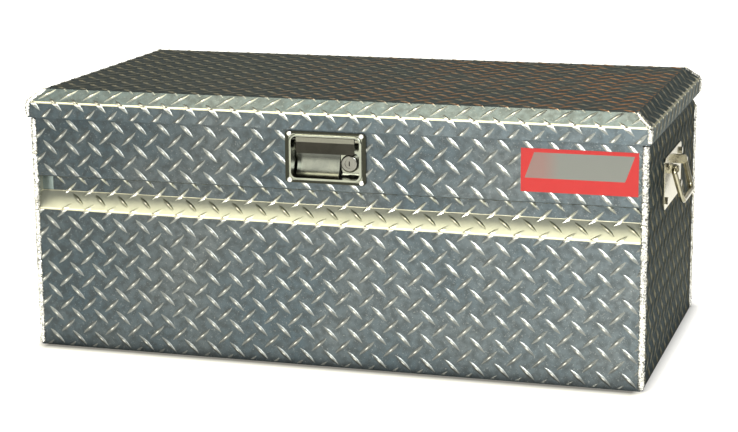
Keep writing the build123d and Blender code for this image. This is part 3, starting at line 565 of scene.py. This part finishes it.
def makeLug():
    # a long pointed ridge: a small grid raised along its middle and drawn in towards both ends
    piece = startPiece("lug", bpy.ops.mesh.primitive_grid_add, x_subdivisions=8, y_subdivisions=4, size=2.0)
    for row, shift, rise in ((0.5, lug["crown"], lug["shoulder"]), (0.0, 1.0, 1.0)):
        chooseVertices(piece, lambda co: abs(abs(co.y) - row) < 0.1)
        bpy.ops.transform.resize(value=(1.0, shift, 1.0), center_override=(0, 0, 0))
        bpy.ops.transform.translate(value=(0.0, 0.0, rise))
    for column, draw in lug["taper"]:
        chooseVertices(piece, lambda co: abs(abs(co.x) - column) < 0.1)
        bpy.ops.transform.resize(value=(1.0, draw, draw), center_override=(0, 0, 0))
    bpy.ops.mesh.select_all(action="SELECT")
    bpy.ops.mesh.remove_doubles(threshold=0.001)
    bpy.ops.object.mode_set(mode="OBJECT")
    piece.scale = (lug["length"] / 2, lug["width"] / 2, lug["height"])
    return settle(piece, 50.0)


def makeTile(pitchAlong, pitchUp):
    # one lug leaning each way: the pattern's repeat
    falling = makeLug()
    rising = copyPiece(falling, "lugRising")
    falling.rotation_euler.z = -math.radians(lug["lean"])
    rising.rotation_euler.z = math.radians(lug["lean"])
    rising.location = (pitchAlong / 2, pitchUp / 2, 0.0)
    settle(falling)
    settle(rising)
    return joinPieces([falling, rising], "treadTile")


def around(area, hole):
    # splits a rectangle (left, right, low, high) round a hole
    left, right, low, high = area
    holeLeft, holeRight, holeLow, holeHigh = hole
    if holeLeft >= right or holeRight <= left or holeLow >= high or holeHigh <= low:
        return [area]
    parts = []
    if holeLeft > left:
        parts.append((left, holeLeft, low, high))
    if holeRight < right:
        parts.append((holeRight, right, low, high))
    inner = (max(left, holeLeft), min(right, holeRight))
    if holeLow > low:
        parts.append((*inner, low, holeLow))
    if holeHigh < high:
        parts.append((*inner, holeHigh, high))
    return parts


def treadField(area, phase, place, mitres=(), pitch=None, holes=()):
    # lugs over one flat face: area and phase are measured on the face, and place carries it to the box
    pitchAlong, pitchUp = pitch or (lug["pitchAlong"], lug["pitchUp"])
    parts = [area]
    for hole in holes:
        parts = [piece for part in parts for piece in around(part, hole)]
    made = []
    for left, right, low, high in parts:
        if min(right - left, high - low) < lug["smallestField"]:
            continue
        tile = makeTile(pitchAlong, pitchUp)
        firstAlong = math.floor((left - phase[0]) / pitchAlong) - 1
        firstUp = math.floor((low - phase[1]) / pitchUp) - 1
        countAlong = math.ceil((right - left) / pitchAlong) + 3
        countUp = math.ceil((high - low) / pitchUp) + 3
        applyModifier(tile, "ARRAY", count=countAlong, use_relative_offset=False,
                      use_constant_offset=True, constant_offset_displace=(pitchAlong, 0.0, 0.0))
        applyModifier(tile, "ARRAY", count=countUp, use_relative_offset=False,
                      use_constant_offset=True, constant_offset_displace=(0.0, pitchUp, 0.0))
        tile.location = (phase[0] + firstAlong * pitchAlong, phase[1] + firstUp * pitchUp, -lug["sink"])
        settle(tile)
        cuts = [((left, low), (-1, 0)), ((right, high), (1, 0)),
                ((left, low), (0, -1)), ((right, high), (0, 1))]
        bpy.ops.object.mode_set(mode="EDIT")
        for (along, up), (normalAlong, normalUp) in cuts + list(mitres):
            bpy.ops.mesh.select_all(action="SELECT")
            bpy.ops.mesh.bisect(plane_co=(along, up, 0.0), plane_no=(normalAlong, normalUp, 0.0),
                                clear_outer=True, use_fill=True)
        bpy.ops.object.mode_set(mode="OBJECT")
        if len(tile.data.vertices) == 0:
            bpy.data.objects.remove(tile)
            continue
        tile.matrix_world = place
        settle(tile)
        made.append(tile)
    return made


def facePlace(origin, along, up):
    # local x runs along the face, local y up it, and local z out of it
    along, up = Vector(along).normalized(), Vector(up).normalized()
    out = along.cross(up)
    frameMatrix = Matrix((along, up, out)).transposed().to_4x4()
    frameMatrix.translation = Vector(origin)
    return frameMatrix


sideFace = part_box("side_panel_right")[1].x
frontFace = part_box("front_panel")[0].y
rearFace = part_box("rear_panel")[1].y
lidLow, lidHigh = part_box("lid_shell")
bezelLow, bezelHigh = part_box("latch_dish")
labelLow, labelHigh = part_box("front_decal")
plateLow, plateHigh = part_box("handle_plate_right")
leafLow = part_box("hinge_leaf_body")[0].z
seamHeight = lidLow.z
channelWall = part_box("channel_patch")[1].y
channelDepth = channelWall - frontFace

front = {
    "lowerZone": 0.2105,
    "channelTop": 0.2595,
    "bendGap": 0.0010,      # the lugs stop this far from a slight bend
    "sharpGap": 0.0026,
    "edgeGap": 0.0030,      # and this far from a welded corner
    "phase": (0.0044, 0.1909),
    "recessPhase": 0.1939,
    "upperPhase": 0.3040,
    "seamGap": 0.0028,
    "footGap": 0.002,
    "smoothEnd": 0.040,
    "patchWidth": 0.019,
    "bezelCover": 0.001,    # the lugs run this far under the latch's bezel
}


def treadFront():
    ledgeLength = channelDepth * math.sqrt(2.0)
    wallFoot = front["lowerZone"] + channelDepth
    inner = sideFace - front["edgeGap"]
    smoothLeft = -sideFace + front["smoothEnd"]
    phaseAlong = front["phase"][0]
    gap, sharp = front["bendGap"], front["sharpGap"]
    upright = facePlace((0, frontFace, 0), (1, 0, 0), (0, 0, 1))
    ledge = facePlace((0, frontFace, front["lowerZone"]), (1, 0, 0), (0, 1, 1))
    wall = facePlace((0, channelWall, wallFoot), (1, 0, 0), (0, 0, 1))
    soffit = facePlace((0, channelWall, front["channelTop"]), (1, 0, 0), (0, -1, 0))
    # the pattern runs on over the bends, so every face takes its phase from the flat sheet
    ledgePhase = front["recessPhase"] - front["lowerZone"]
    wallPhase = ledgePhase - ledgeLength
    soffitPhase = wallPhase - (front["channelTop"] - wallFoot)
    cover = front["bezelCover"]
    latchHole = (bezelLow.x + cover, bezelHigh.x - cover, bezelLow.z + cover, bezelHigh.z - cover)
    labelHole = (labelLow.x, labelHigh.x, labelLow.z, labelHigh.z)
    fields = treadField((-inner, inner, front["footGap"], front["lowerZone"] - gap), front["phase"], upright)
    fields += treadField((smoothLeft, inner, gap, ledgeLength - gap), (phaseAlong, ledgePhase), ledge)
    fields += treadField((-sideFace + front["patchWidth"], inner, gap, front["channelTop"] - wallFoot - gap),
                         (phaseAlong, wallPhase), wall)
    fields += treadField((-inner, inner, gap, channelDepth - sharp), (phaseAlong, soffitPhase), soffit)
    fields += treadField((-inner, inner, front["channelTop"] + sharp, seamHeight - front["seamGap"]),
                         (phaseAlong, front["upperPhase"]), upright, holes=(latchHole, labelHole))
    return joinPieces(fields, "tread_lugs_front")


ends = {
    "phase": (0.006, 0.0120),
    "edgeGap": 0.0035,
    "clipLength": 0.045,
    "clipDrop": 0.016,
    "overSeam": 0.004,      # how far the lugs run up behind the lid's skirt
    "leafGap": 0.001,
}


def treadEnds():
    made = []
    for side, name in ((1, "right"), (-1, "left")):
        place = facePlace((side * sideFace, 0, 0), (0, side, 0), (0, 0, 1))
        front0, rear0 = frontFace * side, rearFace * side
        left, right = min(front0, rear0) + ends["edgeGap"], max(front0, rear0) - ends["edgeGap"]
        # the top rear corner is clipped under the lid
        clipStart = (rearFace - ends["clipLength"]) * side
        clip = ((clipStart, seamHeight), (side * ends["clipDrop"], ends["clipLength"]))
        hole = (plateLow.y, plateHigh.y, plateLow.z, plateHigh.z)
        fields = treadField((left, right, front["footGap"], seamHeight + ends["overSeam"]), ends["phase"],
                            place, mitres=(clip,), holes=(hole,))
        made.append(joinPieces(fields, "tread_lugs_" + name))
    return made


def treadRear():
    place = facePlace((0, rearFace, 0), (-1, 0, 0), (0, 0, 1))
    inner = sideFace - ends["edgeGap"]
    fields = treadField((-inner, inner, front["footGap"], leafLow - ends["leafGap"]), ends["phase"], place)
    return joinPieces(fields, "tread_lugs_rear")


lid = {
    "pitch": (0.03525, 0.0353),
    "phase": (0.0062, 0.0218),      # measured up the flat sheet from the front skirt's lower edge
    "bevelRun": 0.022,
    "bevelRise": 0.0185,
    "edgeGap": 0.0004,
    "cornerGap": 0.0016,
    "skirtFoot": 0.0015,
    "skirtInset": 0.001,
    "mitreShare": 1.4,      # corner gap of the bevel, as a share of the skirt's
}


def treadLid():
    run, rise, gap = lid["bevelRun"], lid["bevelRise"], lid["edgeGap"]
    slope = math.hypot(run, rise)
    skirt = lidHigh.z - rise - seamHeight
    bend = lidHigh.z - rise
    pitchAlong, pitchUp = lid["pitch"]
    across, deep = lidHigh.x, lidHigh.y
    topAcross, topDeep = across - run, deep - run
    phaseAlong, phaseUp = lid["phase"]
    mitreGap = lid["cornerGap"] * lid["mitreShare"]
    # the lid is one sheet: the sides' phases carry on from the top's
    topPhase = (phaseAlong, phaseUp - skirt - slope - topDeep)
    top = facePlace((0, 0, lidHigh.z), (1, 0, 0), (0, 1, 0))
    fields = treadField((-topAcross + gap, topAcross - gap, -topDeep + gap, topDeep - gap), topPhase, top,
                        pitch=lid["pitch"])
    sides = (
        # direction out, half length of the bend, half length of the top edge,
        # phase along, phase up, swapped pitch
        ((0, -1), across, topAcross, phaseAlong, phaseUp, False),
        ((0, 1), across, topAcross, -phaseAlong, -topPhase[1] + skirt + slope + topDeep, False),
        ((1, 0), deep, topDeep, topPhase[1], -phaseAlong + skirt + slope + topAcross, True),
        ((-1, 0), deep, topDeep, -topPhase[1], phaseAlong + skirt + slope + topAcross, True),
    )
    for (outX, outY), half, topHalf, phaseU, phaseV, swapped in sides:
        along = (-outY, outX, 0)
        reach = across if outX else deep
        pitch = (pitchUp, pitchAlong) if swapped else (pitchAlong, pitchUp)
        skirtPlace = facePlace((outX * reach, outY * reach, seamHeight), along, (0, 0, 1))
        skirtHalf = half - lid["cornerGap"] - lid["skirtInset"]
        fields += treadField((-skirtHalf, skirtHalf, lid["skirtFoot"], skirt - gap),
                             (phaseU, phaseV), skirtPlace, pitch=pitch)
        bevelPlace = facePlace((outX * reach, outY * reach, bend), along, (-outX * run, -outY * run, rise))
        lean = half - topHalf
        mitres = (
            ((half - mitreGap, 0.0), (slope, lean)),
            ((-half + mitreGap, 0.0), (-slope, lean)),
        )
        fields += treadField((-half, half, gap, slope - gap), (phaseU, phaseV - skirt), bevelPlace,
                             mitres=mitres, pitch=pitch)
    return joinPieces(fields, "tread_lugs_lid")


lugPieces = [
    (treadFront(), "box", "treadLugs"),
    (treadRear(), "box", "treadLugs"),
    (treadLid(), "lid", "treadLugsLid"),
]
lugPieces += [(piece, "box", "treadLugsEnds") for piece in treadEnds()]
for piece, body, finishName in lugPieces:
    dress(piece, finishes[finishName], body)
    print(piece.name, len(piece.data.vertices), "vertices")


bead = {
    "ripple": 0.0046,
    "radius": 0.0040,
    "swell": 1.32,
    "sides": 10,
    "jitter": 0.00120,
    "inset": 0.0017,
    "capInset": 0.35,       # as a share of the radius
    "footGap": 0.0025,
    "frontTopGap": 0.002,
    "rearTopGap": 0.003,
    "lidInset": 0.0016,
    "lidRadius": 0.8,       # as a share of the box's bead
    "lidFootGap": 0.002,
    "kneeGap": 0.0008,
    "peakInset": 0.4,       # both as a share of the lid's inset
    "peakDrop": 1.1,
    "bodySeed": 11,
    "skirtSeed": 31,
    "bevelSeed": 41,
}


def makeBead(name, start, end, radius, seed):
    # a closed rope of ripples from start to end
    start, end = Vector(start), Vector(end)
    length = (end - start).length
    count = max(3, round(length / bead["ripple"]))
    step = length / count
    piece = startPiece(name, bpy.ops.mesh.primitive_circle_add, vertices=bead["sides"], radius=radius)
    bpy.ops.object.mode_set(mode="EDIT")
    bpy.ops.mesh.select_all(action="SELECT")
    for grow in (bead["swell"], 1.0 / bead["swell"]):
        bpy.ops.mesh.extrude_region_move(TRANSFORM_OT_translate={"value": (0.0, 0.0, step / 2)})
        bpy.ops.transform.resize(value=(grow, grow, 1.0))
    bpy.ops.object.mode_set(mode="OBJECT")
    applyModifier(piece, "ARRAY", count=count, use_relative_offset=False, use_constant_offset=True,
                  constant_offset_displace=(0.0, 0.0, step), use_merge_vertices=True, merge_threshold=1e-5)
    for level in (0.0, length):
        chooseVertices(piece, lambda co: abs(co.z - level) < step * 0.1)
        bpy.ops.mesh.edge_face_add()
        bpy.ops.mesh.inset(thickness=radius * bead["capInset"])
    bpy.ops.mesh.select_all(action="SELECT")
    bpy.ops.transform.vertex_random(offset=bead["jitter"], seed=seed)
    bpy.ops.mesh.normals_make_consistent(inside=False)
    bpy.ops.object.mode_set(mode="OBJECT")
    turn = (end - start).to_track_quat("Z", "X").to_matrix().to_4x4()
    turn.translation = start
    piece.matrix_world = turn
    return settle(piece, 60.0)


# front right, front left, rear right, rear left
corners = ((1, -1), (-1, -1), (1, 1), (-1, 1))


def bodyBeads():
    made = []
    for number, (sideX, sideY) in enumerate(corners):
        top = seamHeight - bead["frontTopGap"]
        if sideY > 0:
            top = seamHeight - ends["clipDrop"] - bead["rearTopGap"]
        place = (sideX * (sideFace - bead["inset"]), sideY * (rearFace - bead["inset"]))
        made.append(makeBead("bodyBead", (*place, bead["footGap"]), (*place, top),
                             bead["radius"], bead["bodySeed"] + number))
    return joinPieces(made, "weld_beads_body")


def lidBeads():
    made = []
    inset = bead["lidInset"]
    radius = bead["radius"] * bead["lidRadius"]
    run = lid["bevelRun"]
    bend = lidHigh.z - lid["bevelRise"]
    peakInset = inset * bead["peakInset"]
    for number, (sideX, sideY) in enumerate(corners):
        foot = Vector((sideX * (lidHigh.x - inset), sideY * (lidHigh.y - inset),
                       seamHeight + bead["lidFootGap"]))
        knee = Vector((foot.x, foot.y, bend - bead["kneeGap"]))
        peak = Vector((sideX * (lidHigh.x - run - peakInset), sideY * (lidHigh.y - run - peakInset),
                       lidHigh.z - inset * bead["peakDrop"]))
        made.append(makeBead("lidBead", foot, knee, radius, bead["skirtSeed"] + number))
        made.append(makeBead("lidBead", knee, peak, radius, bead["bevelSeed"] + number))
    return joinPieces(made, "weld_beads_lid")


dress(bodyBeads(), finishes["weldBead"], "box")
dress(lidBeads(), finishes["weldBead"], "lid")
print("weld beads laid")


scoop = {
    "left": -0.0485,
    "right": 0.0150,
    "top": 0.3120,
    "bottom": 0.2774,
    "lip": -0.2335,         # how far forward the lower edge comes
    "backGap": 0.0030,
    "sheet": 0.0008,
    "steps": 10,
}


def makeScoop():
    # a drawn sheet that starts upright behind the paddle and curves forward to the lower lip
    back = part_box("latch_dish")[1].y - scoop["backGap"]
    rise = scoop["top"] - scoop["bottom"]
    reach = back - scoop["lip"]
    piece = startPiece("latch_scoop", bpy.ops.mesh.primitive_plane_add, size=1.0,
                       location=((scoop["left"] + scoop["right"]) / 2, back, scoop["top"]),
                       rotation=(math.pi / 2, 0.0, 0.0))
    piece.scale = (scoop["right"] - scoop["left"], 0.002, 1.0)
    settle(piece)
    topLevel = scoop["top"]
    chooseVertices(piece, lambda co: co.z < topLevel)
    step = math.pi / 2 / scoop["steps"]
    for number in range(scoop["steps"]):
        before, after = number * step, (number + 1) * step
        ahead = reach * (math.cos(before) - math.cos(after))
        down = rise * (math.sin(after) - math.sin(before))
        move = (0.0, -ahead, -down)
        bpy.ops.mesh.extrude_region_move(TRANSFORM_OT_translate={"value": move})
    bpy.ops.object.mode_set(mode="OBJECT")
    applyModifier(piece, "SOLIDIFY", thickness=scoop["sheet"], offset=-1.0)
    bpy.ops.object.mode_set(mode="EDIT")
    bpy.ops.mesh.select_all(action="SELECT")
    bpy.ops.mesh.normals_make_consistent(inside=False)
    bpy.ops.object.mode_set(mode="OBJECT")
    return settle(piece, 40.0)


dress(makeScoop(), finishes["scoopChrome"], "box")


studio = {
    "floor": (0.90, 0.90, 0.90),
    "floorGlow": 0.72,
    "horizon": (0.62, 0.60, 0.53),
    "zenith": (0.33, 0.33, 0.30),
    # where painted shade takes the floor's glow away: low, its softness, high, its softness
    "frontLeftShade": {"across": (-2.0, 0.7, -0.25, 0.75), "depth": (-2.4, 0.8, -0.85, 0.15)},
    "backRightShade": {"across": (0.62, 0.1, 1.5, 0.6), "depth": (0.05, 0.2, 2.0, 0.8)},
    "underHalf": (0.466, 0.264),    # painted contact shadow: the floor beneath and just round the box loses its glow
    "underEdge": 0.022,
    "paintedContactShadow": (0.10, 0.10, 0.105),
}


def addFloor():
    floor = startPiece("studioFloor", bpy.ops.mesh.primitive_plane_add, size=40.0)
    look = Finish("floorPaper", Roughness=0.9, Emission_Strength=studio["floorGlow"])
    fibre = look.point.noise(3.0, detail=2.0)
    # painted shade: the floor's glow is darker towards the front left and the back right
    across, depth, _ = look.axes
    frontLeft = soft(across, *studio["frontLeftShade"]["across"]) * soft(depth, *studio["frontLeftShade"]["depth"])
    backRight = soft(across, *studio["backRightShade"]["across"]) * soft(depth, *studio["backRightShade"]["depth"])
    # painted contact shadow round the box's footprint
    halfAcross, halfDeep = studio["underHalf"]
    under = band(across, -halfAcross, halfAcross, studio["underEdge"])
    under = under * band(depth, -halfDeep, halfDeep, studio["underEdge"])
    glow = (frontLeft * 0.75 + backRight * 0.9 + under).shade((1.0, 1.0, 1.0), (0.0, 0.0, 0.0))
    look.link("Emission Color", glow)
    base = fibre.shade([value * 0.985 for value in studio["floor"]], studio["floor"])
    # painted contact shadow in the floor's colour
    look.link("Base Color", under.tint(base, studio["paintedContactShadow"]))
    floor.data.materials.append(look.material)


def addPanel(name, place, target, size, strength, colour):
    light = bpy.data.lights.new(name, "AREA")
    light.shape = "RECTANGLE"
    light.size, light.size_y = size
    light.energy = strength
    light.color = colour
    holder = bpy.data.objects.new(name, light)
    holder.location = place
    aim = Vector(target) - Vector(place)
    holder.rotation_euler = aim.to_track_quat("-Z", "Y").to_euler()
    scene.collection.objects.link(holder)


def addSky():
    world = bpy.data.worlds.new("studioSky")
    world.use_nodes = True
    scene.world = world
    sky = Signal(world.node_tree)
    height = sky.make("SeparateXYZ", None, {0: sky.make("TexCoord", output="Generated")}, output=2)
    ramp = sky.make("ValToRGB", {"stops": ((0.0, studio["horizon"]), (0.35, studio["horizon"]),
                                           (1.0, studio["zenith"]))}, {"Fac": height})
    world.node_tree.links.new(ramp.socket, world.node_tree.nodes["Background"].inputs["Color"])


addFloor()
addSky()
addPanel("keyPanel", (1.25, -3.25, 2.0), (0.0, 0.0, 0.2), (1.5, 1.4), 175.0, (1.0, 0.99, 0.96))
addPanel("topPanel", (-0.7, -1.0, 3.2), (-0.7, -0.6, 0.2), (2.8, 1.5), 140.0, (1.0, 0.93, 0.68))
addPanel("leftPanel", (-2.1, -1.3, 2.3), (0.0, 0.0, 0.2), (1.2, 1.2), 9.0, (1.0, 0.96, 0.82))
addPanel("stripPanel", (-1.05, -3.05, 1.75), (0.0, 0.0, 0.25), (0.40, 2.6), 30.0, (1.0, 0.98, 0.86))
scene.view_settings.view_transform = "Standard"
print("studio set")
